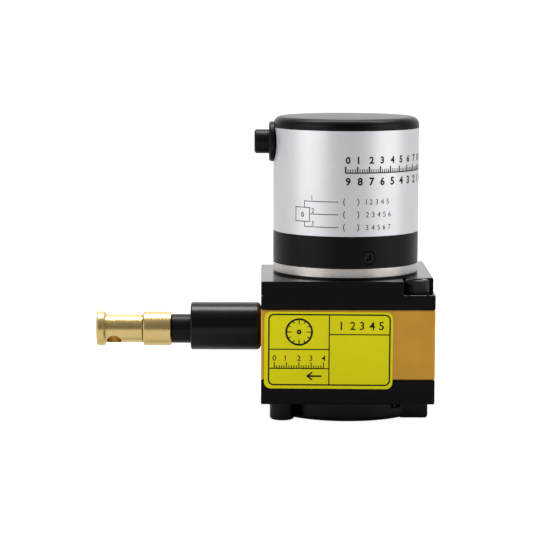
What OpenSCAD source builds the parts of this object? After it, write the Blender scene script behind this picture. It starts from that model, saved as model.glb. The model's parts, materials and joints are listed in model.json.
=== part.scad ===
// Draw wire sensor: a spring-driven wire drum in a square three-layer body,
// with a multi-turn potentiometer under a round cover on top.
// Millimetres, +Z up. The origin is on the drum axis at the underside of the spring cover.
// The wire leaves the drum along -X, through the nozzle in the left-hand face.

/* [Body] */
// Side of the square body
body_w = 50; // [46:0.5:60]
// Chamfer on the edges of the plates and the housing
edge_chamfer = 0.3; // [0.1:0.1:0.8]
// Thickness of the bottom plate
bottom_plate_h = 7.15; // [6.5:0.05:10]
// Height of the drum housing
housing_h = 20.25; // [19:0.25:30]
// Thickness of the top plate
top_plate_h = 8.2; // [7.5:0.1:12]
// Side of the square corner notches in the top plate
notch_w = 9.15; // [8.6:0.05:10]
// Depth of the corner notches
notch_depth = 3.85; // [2.5:0.05:4.5]
// How much deeper the back left notch is
rear_notch_drop = 1.3; // [0:0.1:1.6]
// Distance of the body screw axes from the side faces
screw_inset = 5.1; // [4.9:0.1:5.5]
// Nominal diameter of the body screws
body_screw_d = 4; // [3.5:0.1:4.2]
// Diameter of the body screw heads
body_screw_head_d = 7; // [6.2:0.1:7.2]
// Height of the body screw heads
body_screw_head_h = 4; // [3:0.1:4.4]
// Free thread left below the body screws for the mounting screws
mount_thread = 3.2; // [2.5:0.1:4]

/* [Spring cover] */
// Height of the spring cover below the bottom plate
spring_cover_h = 5.6; // [5:0.1:9]
// Radius of the round part of the spring cover
spring_cover_r = 22.4; // [21:0.1:23]
// Side wall of the spring cover
spring_cover_wall = 1.5; // [1:0.1:2]
// Floor of the spring cover
spring_cover_floor = 1.2; // [0.8:0.1:1.6]
// Rounding of its lower edge
spring_cover_round = 1.1; // [0.6:0.1:1.1]
// Radius of the two screw lobes
lobe_r = 3.6; // [3.4:0.1:4]
// Rounding of the lower edge of the lobes and the anchor block
lobe_round = 0.9; // [0.5:0.1:0.9]
// Distance of the lobe centres from the drum axis
lobe_reach = 25.7; // [25:0.1:26.5]
// Width of the web between a lobe and the round part
lobe_neck_w = 4; // [2:0.5:6]
// Direction of the rear lobe, from +X
lobe_angle = 43; // [40:1:48]
// Reach of the square anchor block towards +X
anchor_reach = 23.7; // [23:0.1:24.5]
// Place of the anchor block's front face behind the front
anchor_front = -15.6; // [-16:0.1:-14]
// Length of the anchor block
anchor_len = 12; // [8:0.5:18]
// Width of the slot that the spring's outer end hooks into
anchor_slot_w = 4; // [3:0.1:5]
// Height of that slot
anchor_slot_h = 2.4; // [1.8:0.1:2.8]
// Direction of that slot, from -Y towards +X
anchor_slot_angle = 39.7; // [36:0.1:42]
// Thread diameter of the spring cover screws
lid_screw_d = 2.5; // [2.2:0.1:2.6]
// Length of the spring cover screws
lid_screw_len = 8; // [7:0.5:10]

/* [Power spring] */
// Thickness of the spring ribbon
ribbon_t = 0.25; // [0.15:0.05:0.4]
// Width of the spring ribbon
ribbon_w = 5.4; // [4.5:0.1:5.6]
// Number of coils
ribbon_turns = 9; // [5:1:12]
// Diameter of the arbor
arbor_d = 10.4; // [9:0.1:12]

/* [Drum] */
// Wire wound per turn of the drum
turn_length = 75; // [70:1:82]
// Diameter of the draw wire
wire_d = 0.6; // [0.4:0.05:0.8]
// Turns on the drum with the wire drawn in
winding_turns = 8; // [7:1:10]
// Height of the drum flanges above the winding surface
drum_flange = 3.2; // [2:0.1:3.6]
// Thickness of the drum flanges
drum_flange_t = 1.4; // [1:0.1:2]
// Thickness of the drum rim
drum_rim_t = 2.2; // [1.5:0.1:2.6]
// Diameter of the drum hub
drum_hub_d = 13; // [12:0.5:14]
// Thickness of the drum web
drum_web_t = 3; // [2:0.5:5]
// Gap between the drum and the housing around it
drum_gap = 1.5; // [0.8:0.1:2]
// Diameter of the drum shaft
shaft_d = 6; // [5.5:0.1:6.4]
// Outer diameter of the bearings
bearing_d = 12; // [11.8:0.1:13]
// Width of the bearings
bearing_w = 4; // [3.5:0.1:4.2]
// Diameter of the bearing balls
ball_d = 1.588; // [1.4:0.002:1.6]
// Balls in each bearing
ball_count = 8; // [6:1:9]

/* [Nozzle] */
// Diameter of the wire nozzle
nozzle_d = 14.5; // [13:0.1:16]
// Length of the nozzle outside the body
nozzle_len = 21.27; // [16:0.01:30]
// Bore of the nozzle
nozzle_bore_d = 11.2; // [10.8:0.1:11.6]
// Diameter of the nozzle's threaded end
nozzle_thread_d = 9; // [8.5:0.1:9.5]
// Rounding of the nozzle's edge where it meets the body
nozzle_seat_round = 1.1; // [0.4:0.1:1.8]
// Length of the threaded end
nozzle_thread_len = 9; // [6:0.5:10]
// Bore of the guide eyelet
eyelet_bore_d = 2.7; // [2.6:0.1:3]
// Outer diameter of the guide eyelet's collar
eyelet_d = 9.4; // [8.5:0.1:10]

/* [Wire clip] */
// Drop of the clip's axis below the nozzle's axis
clip_drop = 0.85; // [0.5:0.05:0.9]
// Diameter of the black stop sleeve
sleeve_d = 8.8; // [8:0.1:8.8]
// Length of sleeve that shows outside the nozzle
sleeve_show = 5.84; // [3:0.01:9]
// Diameter of the collar
collar_d = 10.4; // [9.4:0.1:11]
// Length of the collar
collar_len = 8.5; // [7.5:0.1:10]
// Diameter of the eye's neck
neck_d = 8.5; // [7.6:0.1:9]
// Length of the eye's neck
neck_len = 11.46; // [10:0.01:14]
// Diameter of the end flange
end_flange_d = 10.5; // [9:0.1:11]
// Thickness of the end flange
end_flange_t = 2.63; // [2:0.01:3]
// Diameter of the cross hole
eye_hole_d = 4.4; // [3.5:0.1:5]
// Distance of the cross hole from the tip
eye_hole_inset = 5.27; // [5.2:0.01:6.5]
// Tilt of the cross hole's axis below the horizontal
eye_hole_tilt = 55; // [0:5:90]
// Diameter of the swivel pin
swivel_pin_d = 4; // [3.6:0.1:4.4]

/* [Sensor cover] */
// Radius of the sensor flange and the cover
sensor_r = 21.44; // [21:0.01:23]
// Thickness of the gasket under the flange
gasket_h = 0.6; // [0.3:0.05:0.8]
// Thickness of the sensor flange
flange_h = 2.55; // [2.4:0.05:4]
// Height of the flange's spigot above the flange
spigot_h = 18; // [17:0.5:22]
// Wall of the spigot
spigot_wall = 4.6; // [4.4:0.1:4.8]
// Height of the cover
cover_h = 42.85; // [42:0.05:56]
// Side wall of the cover
cover_wall = 1.64; // [1.5:0.02:1.8]
// Roof of the cover
cover_roof = 1.8; // [1.4:0.1:2.2]
// Rounding of the cover's top edge
cover_round = 2.3; // [2:0.1:3.2]
// Height of the bare band at the foot of the cover
cover_band = 9.35; // [8:0.05:11]
// Gap between the wrap's upper edge and the start of that rounding
wrap_gap = 0.95; // [0.2:0.05:3]
// Thickness of the silver wrap
wrap_t = 0.25; // [0.15:0.05:0.4]
// Thread diameter of the three flange screws
flange_screw_d = 3; // [2.5:0.1:3.2]
// Depth of the flange screws in the top plate
flange_grip = 5; // [4:0.5:5.5]
// Height of the cover screws above the cover's foot
cover_screw_z = 3.12; // [2.8:0.02:4]
// Direction of the first cover screw, from -Y towards +X
cover_screw_angle = 16.4; // [0:0.1:30]
// Thread diameter of the cover screws
cover_screw_d = 2; // [1.6:0.1:2.2]

/* [Cable gland] */
// Distance of the gland's axis below the top of the cover
gland_drop = 7.5; // [7.4:0.05:9]
// Diameter of the gland's flange
gland_flange_d = 11.8; // [11:0.1:12.4]
// Thickness of the gland's flange
gland_flange_t = 2; // [1.6:0.1:2.6]
// Diameter of the gland's stub
gland_stub_d = 7.1; // [6.6:0.1:8]
// Length of the stub beyond the flange
gland_stub_len = 4.3; // [3:0.1:6]
// Bore for the cable
gland_bore_d = 5; // [4:0.1:5.2]
// Diameter of the gland's thread
gland_thread_d = 7; // [6.4:0.1:7]
// Size of the gland nut across its flats
gland_nut_w = 9.5; // [9:0.1:9.6]

/* [Potentiometer] */
// Thickness of the bracket disc
bracket_t = 2; // [1.6:0.1:3]
// Thread diameter of the three bracket screws
bracket_screw_d = 2.5; // [2:0.1:2.6]
// Depth of the bracket screws in the spigot
bracket_grip = 6; // [4:0.5:8]
// Thread diameter of the set screws in the drum and the coupling
set_screw_d = 3; // [2.5:0.1:3.2]
// Diameter of the potentiometer
pot_d = 22; // [20:0.5:25]
// Gap between the potentiometer and the cover's roof
pot_headroom = 3.05; // [1:0.05:4]
// Diameter of the mounting bush
pot_bush_d = 9; // [8.5:0.1:9.5]
// Length of the mounting bush
pot_bush_len = 8.5; // [8:0.1:8.8]
// Size of the bush nut across its flats
pot_nut_w = 13; // [12:0.5:14]
// Travel of the wiper over the wire's stroke
wiper_travel = 6; // [4:0.5:8]
// Diameter of the coupling
coupling_d = 14; // [13:0.5:15]
// Length of the coupling
coupling_len = 12; // [11:0.5:12]

/* [Label] */
// Width of the yellow label
label_w = 36.85; // [30:0.1:40]
// Height of the label
label_h = 22.2; // [18:0.1:24]
// Thickness of the label
label_t = 0.2; // [0.1:0.05:0.4]
// Corner radius of the label
label_r = 1.85; // [1:0.05:3]
// Distance of the label from the body's left edge
label_inset = 0.95; // [0.5:0.05:4]
// Distance of the label below the top plate
label_drop = 0.55; // [0.3:0.05:2]
// Clockwise tilt of the label
label_tilt = 0.3; // [-1:0.1:1]

/* [Hidden] */
$fn = 96;
CUT = 0.5;            // how far a cutting tool runs past a face
FIT = 0.02;           // radial gap of pieces that are fixed in one another
RUN = 0.08;           // radial gap of pieces that turn in one another
SEAT = 0.3;           // gap between bodies that move apart

// Levels
z_plate = spring_cover_h;
z_cavity = z_plate + bottom_plate_h;
z_roof = z_cavity + housing_h;
z_top = z_roof + top_plate_h;
z_flange = z_top + gasket_h;
z_cover = z_flange + flange_h;
z_cover_top = z_cover + cover_h;
z_spigot = z_cover + spigot_h;
z_pot = z_spigot + bracket_t;
z_nozzle = z_cavity + housing_h / 2;
z_wire = z_nozzle - clip_drop;
z_gland = z_cover_top - gland_drop;

// Body
half_w = body_w / 2;
screw_xy = half_w - screw_inset;
notch_floor = z_top - notch_depth;
// Level of the screw head's seat: s = 1 is the front right corner, s = -1 the back left one
function screw_seat(s) = notch_floor - (s < 0 ? rear_notch_drop : 0);
thread_bottom = z_plate + mount_thread;

// Spring chamber
chamber_r = spring_cover_r - spring_cover_wall;
bearing_lip = 1;
z_chamber_top = z_cavity - bearing_w - bearing_lip;
ribbon_bottom = spring_cover_floor + (z_chamber_top - spring_cover_floor - ribbon_w) / 2;
ribbon_top = ribbon_bottom + ribbon_w;
lid_head_h = 0.57 * lid_screw_d;

// Drum
drum_r = turn_length / 2 / PI;
drum_core_r = drum_r - wire_d / 2 - FIT;
drum_flange_r = drum_core_r + drum_flange;
housing_bore_r = drum_flange_r + drum_gap;
shaft_r = shaft_d / 2;
winding_pitch = wire_d * 0.93;
drum_bottom = z_cavity + 1.35;
drum_top = z_roof - 1.35;
drum_nose_r = shaft_r + 0.85;
shaft_bottom = ribbon_bottom;
circlip_t = 0.7;
circlip_groove_r = shaft_r - 0.2;
circlip_r = shaft_r + 1.6;
shaft_hole_r = bearing_d / 2 - 0.95;

// Bearings
ball_r = ball_d / 2;
ball_pitch_r = (shaft_r + bearing_d / 2) / 2;
groove_r = ball_r + 0.05;
inner_ring_r = ball_pitch_r - ball_r * 0.7;
outer_ring_r = ball_pitch_r + ball_r * 0.7;

// Nozzle and clip, along X
x_face = -half_w;
x_nozzle = x_face - nozzle_len;
x_nozzle_floor = x_face - 4;
x_eyelet = x_nozzle_floor - 1.2;
x_sleeve_in = x_eyelet - SEAT;
x_collar_in = x_nozzle - sleeve_show;
x_collar_out = x_collar_in - collar_len;
x_neck_out = x_collar_out - neck_len;
x_tip = x_neck_out - end_flange_t;
collar_mouth_t = 1.6;
collar_bore_r = collar_d / 2 - 1.3;
x_pin_head = x_collar_out + collar_mouth_t + RUN;
pin_head_t = 1.6;
x_stem = x_collar_in - 3.4;
stem_r = sleeve_d / 2 - 1.65;
ferrule_len = 1.5;
eyelet_r = eyelet_d / 2;
eyelet_seat_r = 3;

// Sensor
wrap_h = cover_h - cover_round - wrap_gap - cover_band;
spigot_r = sensor_r - cover_wall - 0.2;
spigot_bore_r = spigot_r - spigot_wall;
flange_bore_r = coupling_d / 2 + 1;
flange_screw_reach = (flange_bore_r + spigot_bore_r) / 2;
coupling_bottom = z_flange + 1.6;
coupling_top = coupling_bottom + coupling_len;
shaft_gap = 0.4;
shaft_top = (coupling_bottom + coupling_top - shaft_gap) / 2;
pot_shaft_bottom = shaft_top + shaft_gap;
pot_r = pot_d / 2;
pot_front_t = 2;
pot_wall = 1.2;
pot_top = z_cover_top - cover_roof - pot_headroom;
element_r = pot_r - pot_wall;
rotor_r = element_r - 2.3;
rotor_bottom = z_pot + pot_front_t + 0.6;
rotor_top = pot_top - pot_wall - 0.4;
wiper_h = 2.4;
wiper_z = rotor_bottom + 1.5;
x_gland_seat = -sqrt(sensor_r * sensor_r - gland_flange_d * gland_flange_d / 4) - 0.15;
x_gland_pad = -(sensor_r - cover_wall) + 1.2;

// ---- Shared shapes ----

// Rectangle with its corners cut off, centred
module cut_corner_rect(w, h, c) {
    x = w / 2;
    y = h / 2;
    polygon([[-x + c, -y], [x - c, -y], [x, -y + c], [x, y - c],
             [x - c, y], [-x + c, y], [-x, y - c], [-x, -y + c]]);
}

// Square block standing on z = 0 with every edge chamfered
module chamfered_block(w, h, c) {
    intersection() {
        linear_extrude(h) cut_corner_rect(w, w, c);
        translate([0, w / 2, h / 2]) rotate([90, 0, 0]) linear_extrude(w) cut_corner_rect(w, h, c);
        translate([-w / 2, 0, h / 2]) rotate([90, 0, 90]) linear_extrude(w) cut_corner_rect(w, h, c);
    }
}

// Ring standing on z = 0
module tube(r_out, r_in, h) {
    rotate_extrude() translate([r_in, 0]) square([r_out - r_in, h]);
}

// Cylinder along +X from x0 to x1, at the given axis
module x_rod(r, x0, x1, y, z) {
    translate([x0, y, z]) rotate([0, 90, 0]) cylinder(r = r, h = x1 - x0);
}

// Disc along +X with chamfered rims
module x_disc(r, x0, x1, c, y, z) {
    translate([x0, y, z]) rotate([0, 90, 0])
        rotate_extrude() polygon([[0, 0], [r - c, 0], [r, c], [r, x1 - x0 - c], [r - c, x1 - x0], [0, x1 - x0]]);
}

// The two corners that carry the body screws: front right and back left
module at_body_screws() {
    for (s = [-1, 1]) translate([s * screw_xy, -s * screw_xy, 0]) children();
}

// The two lobes of the spring cover: front left and back right
module at_lobes() {
    for (a = [lobe_angle, lobe_angle + 180]) rotate(a) translate([lobe_reach, 0, 0]) children();
}

// Three equal directions around the sensor, from the first cover screw
module around_sensor(offset_angle) {
    for (i = [0:2]) rotate(cover_screw_angle + offset_angle + i * 120) children();
}

// Socket-head screw with its seat at z = 0 and its shank pointing down
module socket_screw(d, head_d, head_h, len, socket_w) {
    difference() {
        union() {
            rotate_extrude() polygon([[0, 0], [head_d / 2, 0], [head_d / 2, head_h - 0.4],
                                      [head_d / 2 - 0.4, head_h], [0, head_h]]);
            translate([0, 0, -len]) cylinder(d = d, h = len + CUT);
        }
        translate([0, 0, head_h / 2]) cylinder(d = socket_w / cos(30), h = head_h, $fn = 6);
    }
}

// Headless screw along +X, from the shaft out to x_end
module set_screw(x_end) {
    socket_depth = 0.4 * set_screw_d;
    difference() {
        x_rod(set_screw_d / 2, shaft_r + FIT, x_end, 0, 0);
        translate([x_end - socket_depth, 0, 0]) rotate([0, 90, 0])
            cylinder(d = 0.57 * set_screw_d, h = 2 * socket_depth, $fn = 6);
    }
}

// Flat countersunk head along +Z with its face at z = 0
module countersink(d, head_d, depth, len) {
    rotate_extrude() polygon([[0, 0], [head_d / 2, 0], [d / 2, -depth], [d / 2, -len], [0, -len]]);
}

// Cross recess in a screw face at z = 0
module cross_recess(size, width, depth) {
    for (a = [0, 90]) rotate(a)
        translate([-size / 2, -width / 2, -depth]) cube([size, width, depth + CUT]);
}

// Deep-groove bearing parts, centred on z = 0
module bearing_ring(r_out, r_in) {
    difference() {
        translate([0, 0, -bearing_w / 2]) tube(r_out, r_in, bearing_w);
        rotate_extrude() translate([ball_pitch_r, 0]) circle(r = groove_r);
    }
}

module at_lower_bearing() {
    translate([0, 0, z_cavity - bearing_w / 2]) children();
}

module at_upper_bearing() {
    translate([0, 0, z_roof + bearing_w / 2]) children();
}

// ---- Square body ----

module top_plate() {
    color("#2a2a2b") difference() {
        translate([0, 0, z_roof]) chamfered_block(body_w, top_plate_h, edge_chamfer);
        for (s = [-1, 1])
            translate([s * (half_w - notch_w / 2 + CUT / 2), -s * (half_w - notch_w / 2 + CUT / 2),
                       screw_seat(s) + notch_depth])
                cube([notch_w + CUT, notch_w + CUT, 2 * notch_depth], center = true);
        at_body_screws() translate([0, 0, z_roof - CUT])
            cylinder(d = body_screw_d + 0.4, h = top_plate_h + 2 * CUT);
        translate([0, 0, z_roof - CUT]) cylinder(d = bearing_d + 2 * FIT, h = bearing_w + CUT);
        translate([0, 0, z_roof]) cylinder(r = shaft_hole_r, h = top_plate_h + CUT);
        around_sensor(60) translate([0, -flange_screw_reach, z_top - flange_grip - 0.5])
            cylinder(d = flange_screw_d, h = flange_grip + 0.5 + CUT);
    }
}

module drum_housing() {
    color("#b48632") difference() {
        translate([0, 0, z_cavity]) chamfered_block(body_w, housing_h, edge_chamfer);
        translate([0, 0, z_cavity - CUT]) cylinder(r = housing_bore_r, h = housing_h + 2 * CUT);
        at_body_screws() translate([0, 0, z_cavity - CUT])
            cylinder(d = body_screw_d + 0.4, h = housing_h + 2 * CUT);
        x_rod(nozzle_thread_d / 2 + FIT, x_face - CUT, 0, drum_r, z_nozzle);
    }
}

module bottom_plate() {
    color("#2a2a2b") difference() {
        translate([0, 0, z_plate]) chamfered_block(body_w, bottom_plate_h, edge_chamfer);
        translate([0, 0, z_cavity - bearing_w]) cylinder(d = bearing_d + 2 * FIT, h = bearing_w + CUT);
        translate([0, 0, z_plate - CUT]) cylinder(r = shaft_hole_r, h = bottom_plate_h);
        translate([0, 0, z_plate - CUT]) cylinder(r = chamber_r, h = z_chamber_top - z_plate + CUT);
        at_body_screws() translate([0, 0, z_plate - CUT])
            cylinder(d = body_screw_d + 0.1, h = mount_thread + CUT);
        at_body_screws() translate([0, 0, thread_bottom - CUT])
            cylinder(d = body_screw_d + 2 * FIT, h = bottom_plate_h - mount_thread + 2 * CUT);
        at_lobes() translate([0, 0, z_plate - CUT])
            cylinder(d = lid_screw_d + 2 * FIT, h = lid_screw_len - spring_cover_h + 1 + CUT);
    }
}

module body_screws() {
    color("#3b3b3d") for (s = [-1, 1]) translate([s * screw_xy, -s * screw_xy, screw_seat(s)])
        socket_screw(body_screw_d, body_screw_head_d, body_screw_head_h, screw_seat(s) - thread_bottom, 3);
}

// ---- Spring cover and spring ----

// Round boss whose lower edge is rounded
module rounded_boss(r, h, round_r) {
    rotate_extrude() {
        translate([0, round_r]) square([r, h - round_r]);
        square([r - round_r, round_r]);
        translate([r - round_r, round_r]) intersection() {
            circle(r = round_r);
            translate([0, -round_r]) square(round_r);
        }
    }
}

// Web that joins a lobe to the wall of the can
module lobe_neck() {
    neck_len = lobe_reach - spring_cover_r + spring_cover_wall / 2;
    translate([-neck_len, -lobe_neck_w / 2, lobe_round]) cube([neck_len, lobe_neck_w, spring_cover_h - lobe_round]);
}

// Block beside the can, with a rounded lower right edge
module anchor_block() {
    block_in = spring_cover_r * 0.7;
    block_w = anchor_reach - block_in;
    translate([block_in, anchor_front + anchor_len, 0]) rotate([90, 0, 0]) linear_extrude(anchor_len) {
        translate([0, lobe_round]) square([block_w, spring_cover_h - lobe_round]);
        square([block_w - lobe_round, lobe_round]);
        translate([block_w - lobe_round, lobe_round]) intersection() {
            circle(r = lobe_round);
            translate([0, -lobe_round]) square(lobe_round);
        }
    }
}

module at_anchor_slot() {
    rotate(anchor_slot_angle) translate([0, -chamber_r, z_plate]) children();
}

module spring_cover() {
    color("#232324") difference() {
        union() {
            rounded_boss(spring_cover_r, spring_cover_h, spring_cover_round);
            at_lobes() {
                rounded_boss(lobe_r, spring_cover_h, lobe_round);
                lobe_neck();
            }
            anchor_block();
        }
        translate([0, 0, spring_cover_floor]) cylinder(r = chamber_r, h = spring_cover_h);
        at_anchor_slot() translate([0, 0, CUT / 2 - anchor_slot_h / 2])
            cube([anchor_slot_w, 4 * spring_cover_wall, anchor_slot_h + CUT], center = true);
        at_lobes() mirror([0, 0, 1]) translate([0, 0, -0.1])
            countersink(lid_screw_d + 0.4, 2 * lid_screw_d, lid_head_h, spring_cover_h + CUT);
        at_lobes() translate([0, 0, -CUT]) cylinder(d = 2 * lid_screw_d, h = CUT + 0.1);
    }
}

module spring_cover_screws() {
    color("#4a4a4c") at_lobes() translate([0, 0, 0.2]) mirror([0, 0, 1]) difference() {
        countersink(lid_screw_d, 1.9 * lid_screw_d, lid_head_h - 0.2, lid_screw_len);
        cross_recess(lid_screw_d, 0.7, 0.8);
    }
}

// Spiral from the arbor to the chamber wall, ending on the +X axis
spiral_in = arbor_d / 2 + 0.2;
spiral_out = chamber_r - ribbon_t - 0.25;
spiral_steps = 20 * ribbon_turns;
function spiral_r(i) = spiral_in + (spiral_out - spiral_in) * i / spiral_steps;
function spiral_point(i, extra) = (spiral_r(i) + extra) * [cos(18 * i), sin(18 * i)];

module power_spring() {
    inner_tab = 1;
    outer_tab = chamber_r + spring_cover_wall - 0.3 - spiral_out;
    tab_h = anchor_slot_h - 0.6;
    color("#8f9398") rotate(anchor_slot_angle - 90) union() {
        translate([0, 0, ribbon_bottom]) linear_extrude(ribbon_w)
            polygon(concat([for (i = [0:spiral_steps]) spiral_point(i, ribbon_t)],
                           [for (i = [spiral_steps:-1:0]) spiral_point(i, 0)]));
        translate([spiral_in - inner_tab, 0, ribbon_bottom]) cube([inner_tab + ribbon_t / 2, ribbon_t, ribbon_w]);
        translate([spiral_out + ribbon_t / 2, -ribbon_t, z_plate - tab_h - 0.3])
            cube([outer_tab - ribbon_t / 2, ribbon_t, tab_h]);
    }
}

module spring_arbor() {
    slot_w = ribbon_t + 0.6;
    color("#c9a557") difference() {
        translate([0, 0, ribbon_bottom]) tube(arbor_d / 2, shaft_r + FIT, ribbon_w + 0.1);
        rotate(anchor_slot_angle - 90) translate([arbor_d / 2 - 1.1, -0.3, ribbon_bottom - CUT])
            cube([2, slot_w, ribbon_w + 2 * CUT]);
    }
}

// ---- Drum on its shaft ----

module drum_shaft() {
    color("#b9bdc1") difference() {
        translate([0, 0, shaft_bottom]) cylinder(r = shaft_r, h = shaft_top - shaft_bottom);
        translate([0, 0, z_roof + bearing_w]) tube(shaft_d, circlip_groove_r, circlip_t + 0.1);
    }
}

module wire_drum() {
    rim_in = drum_core_r - drum_rim_t;
    web_z = z_wire - drum_web_t / 2;
    color("#d4d6d8") difference() {
        union() {
            translate([0, 0, z_cavity]) cylinder(r = drum_nose_r, h = housing_h);
            translate([0, 0, drum_bottom - 0.5]) cylinder(d = drum_hub_d, h = drum_top - drum_bottom + 1);
            translate([0, 0, drum_bottom]) tube(drum_core_r, rim_in, drum_top - drum_bottom);
            translate([0, 0, web_z]) cylinder(r = drum_core_r - drum_rim_t / 2, h = drum_web_t);
            for (z = [drum_bottom, drum_top - drum_flange_t])
                translate([0, 0, z]) tube(drum_flange_r, rim_in, drum_flange_t);
        }
        translate([0, 0, z_cavity - CUT]) cylinder(r = shaft_r + FIT, h = housing_h + 2 * CUT);
        at_drum_screws() x_rod(set_screw_d / 2 + FIT, 0, drum_core_r + CUT, 0, 0);
    }
}

module at_drum_screws() {
    for (a = [0, 90]) rotate(a) translate([0, 0, drum_top - drum_flange_t - 1.8]) children();
}

module drum_set_screws() {
    color("#3b3b3d") at_drum_screws() set_screw(drum_hub_d / 2 - 0.2);
}

module wire_winding() {
    low = z_wire - winding_pitch * (winding_turns - 1) / 2;
    color("#aeb2b6") rotate_extrude() for (i = [0:winding_turns - 1])
        translate([drum_r, low + i * winding_pitch]) circle(d = wire_d, $fn = 24);
}

module shaft_circlip() {
    color("#6d6f72") translate([0, 0, z_roof + bearing_w + 0.05]) difference() {
        tube(circlip_r, circlip_groove_r + FIT, circlip_t);
        translate([0, -1.6, -CUT]) cube([2 * shaft_d, 3.2, circlip_t + 2 * CUT]);
    }
}

module lower_bearing_outer_ring() {
    color("#c3c6c9") at_lower_bearing() bearing_ring(bearing_d / 2, outer_ring_r);
}

module lower_bearing_inner_ring() {
    color("#c3c6c9") at_lower_bearing() bearing_ring(inner_ring_r, shaft_r + FIT);
}

module upper_bearing_outer_ring() {
    color("#c3c6c9") at_upper_bearing() bearing_ring(bearing_d / 2, outer_ring_r);
}

module upper_bearing_inner_ring() {
    color("#c3c6c9") at_upper_bearing() bearing_ring(inner_ring_r, shaft_r + FIT);
}

module ball_set() {
    for (i = [0:ball_count - 1]) rotate(i * 360 / ball_count)
        translate([ball_pitch_r, 0, 0]) sphere(r = ball_r, $fn = 32);
}

module bearing_balls() {
    color("#d9dcdf") {
        at_lower_bearing() ball_set();
        at_upper_bearing() ball_set();
    }
}

module cage_ring() {
    translate([0, 0, ball_r + 0.08]) tube(outer_ring_r - 0.12, inner_ring_r + 0.12, 0.35);
}

module bearing_cages() {
    color("#b08d4a") {
        at_lower_bearing() cage_ring();
        at_upper_bearing() cage_ring();
    }
}

module shield_pair() {
    shield_t = 0.2;
    for (z = [-bearing_w / 2 + 0.1, bearing_w / 2 - 0.1 - shield_t])
        translate([0, 0, z]) tube(outer_ring_r - FIT, inner_ring_r + 0.1, shield_t);
}

module bearing_shields() {
    color("#a4a7aa") {
        at_lower_bearing() shield_pair();
        at_upper_bearing() shield_pair();
    }
}

// ---- Nozzle, wire and clip ----

module wire_nozzle() {
    tip_round = 0.4;
    outer_r = nozzle_d / 2;
    color("#262627") difference() {
        union() {
            translate([x_nozzle, drum_r, z_nozzle]) rotate([0, 90, 0]) rotate_extrude() polygon([
                [0, 0], [outer_r - tip_round, 0], [outer_r, tip_round],
                [outer_r, nozzle_len - nozzle_seat_round],
                [outer_r - 0.3 * nozzle_seat_round, nozzle_len - 0.35 * nozzle_seat_round],
                [outer_r - nozzle_seat_round, nozzle_len], [0, nozzle_len]]);
            x_rod(nozzle_thread_d / 2, x_face - CUT, x_face + nozzle_thread_len, drum_r, z_nozzle);
        }
        x_rod(nozzle_bore_d / 2, x_nozzle - CUT, x_nozzle_floor, drum_r, z_nozzle);
        x_rod(eyelet_seat_r + FIT, x_nozzle_floor - CUT, x_face + nozzle_thread_len + CUT, drum_r, z_nozzle);
    }
}

module guide_eyelet() {
    flare = 0.5;
    bore_r = eyelet_bore_d / 2;
    eyelet_len = 4.5;
    collar_t = x_nozzle_floor - x_eyelet;
    color("#e8e4dc") translate([x_eyelet, drum_r, z_nozzle]) rotate([0, 90, 0])
        rotate_extrude() polygon([
            [bore_r + flare, 0], [eyelet_r - 0.2, 0], [eyelet_r, 0.2], [eyelet_r, collar_t],
            [eyelet_seat_r, collar_t], [eyelet_seat_r, collar_t + eyelet_len],
            [bore_r + flare, collar_t + eyelet_len], [bore_r, collar_t + eyelet_len - flare], [bore_r, flare]]);
}

module draw_wire() {
    // The straight run starts where it has come clear of the last turn on the drum
    x_leave = -sqrt(2 * drum_r * (wire_d + 0.2));
    color("#b4b8bc") x_rod(wire_d / 2, x_stem - ferrule_len + 0.2, x_leave, drum_r, z_wire);
}

module wire_ferrule() {
    color("#b87a4a") difference() {
        x_rod(1.5, x_stem - ferrule_len, x_stem, drum_r, z_wire);
        x_rod(wire_d / 2 + FIT, x_stem - ferrule_len + 0.2, x_stem + CUT, drum_r, z_wire);
    }
}

module clip_stem() {
    color("#d4b469") difference() {
        union() {
            x_rod(collar_bore_r - FIT, x_stem, x_collar_in, drum_r, z_wire);
            x_rod(stem_r, x_collar_in - CUT, x_sleeve_in - 0.8, drum_r, z_wire);
        }
        x_rod(wire_d / 2 + 0.2, x_stem - CUT, 0, drum_r, z_wire);
    }
}

module stop_sleeve() {
    color("#1f1f20") difference() {
        x_disc(sleeve_d / 2, x_collar_in, x_sleeve_in, 0.3, drum_r, z_wire);
        x_rod(stem_r + FIT, x_collar_in - CUT, x_sleeve_in + CUT, drum_r, z_wire);
    }
}

module clip_collar() {
    color("#d4b469") difference() {
        x_disc(collar_d / 2, x_collar_out, x_collar_in, 0.3, drum_r, z_wire);
        x_rod(collar_bore_r, x_collar_out + collar_mouth_t, x_collar_in + CUT, drum_r, z_wire);
        x_rod(swivel_pin_d / 2 + RUN, x_collar_out - CUT, x_collar_in, drum_r, z_wire);
    }
}

module clip_eye() {
    x_hole = x_tip + eye_hole_inset;
    neck_end = x_collar_out - RUN;
    color("#d4b469") difference() {
        union() {
            x_disc(end_flange_d / 2, x_tip, x_neck_out, 0.4, drum_r, z_wire);
            x_disc(neck_d / 2, x_neck_out - CUT, neck_end, 0.25, drum_r, z_wire);
            x_rod(swivel_pin_d / 2, neck_end - CUT, x_pin_head + CUT, drum_r, z_wire);
            x_disc(collar_bore_r - 0.3, x_pin_head, x_pin_head + pin_head_t, 0.3, drum_r, z_wire);
        }
        translate([x_hole, drum_r, z_wire]) rotate([90 + eye_hole_tilt, 0, 0])
            cylinder(d = eye_hole_d, h = 2 * end_flange_d, center = true);
    }
}

// ---- Sensor flange and cover ----

module flange_gasket() {
    color("#17171a") translate([0, 0, z_top]) tube(sensor_r - 0.15, spigot_bore_r, gasket_h);
}

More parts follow.
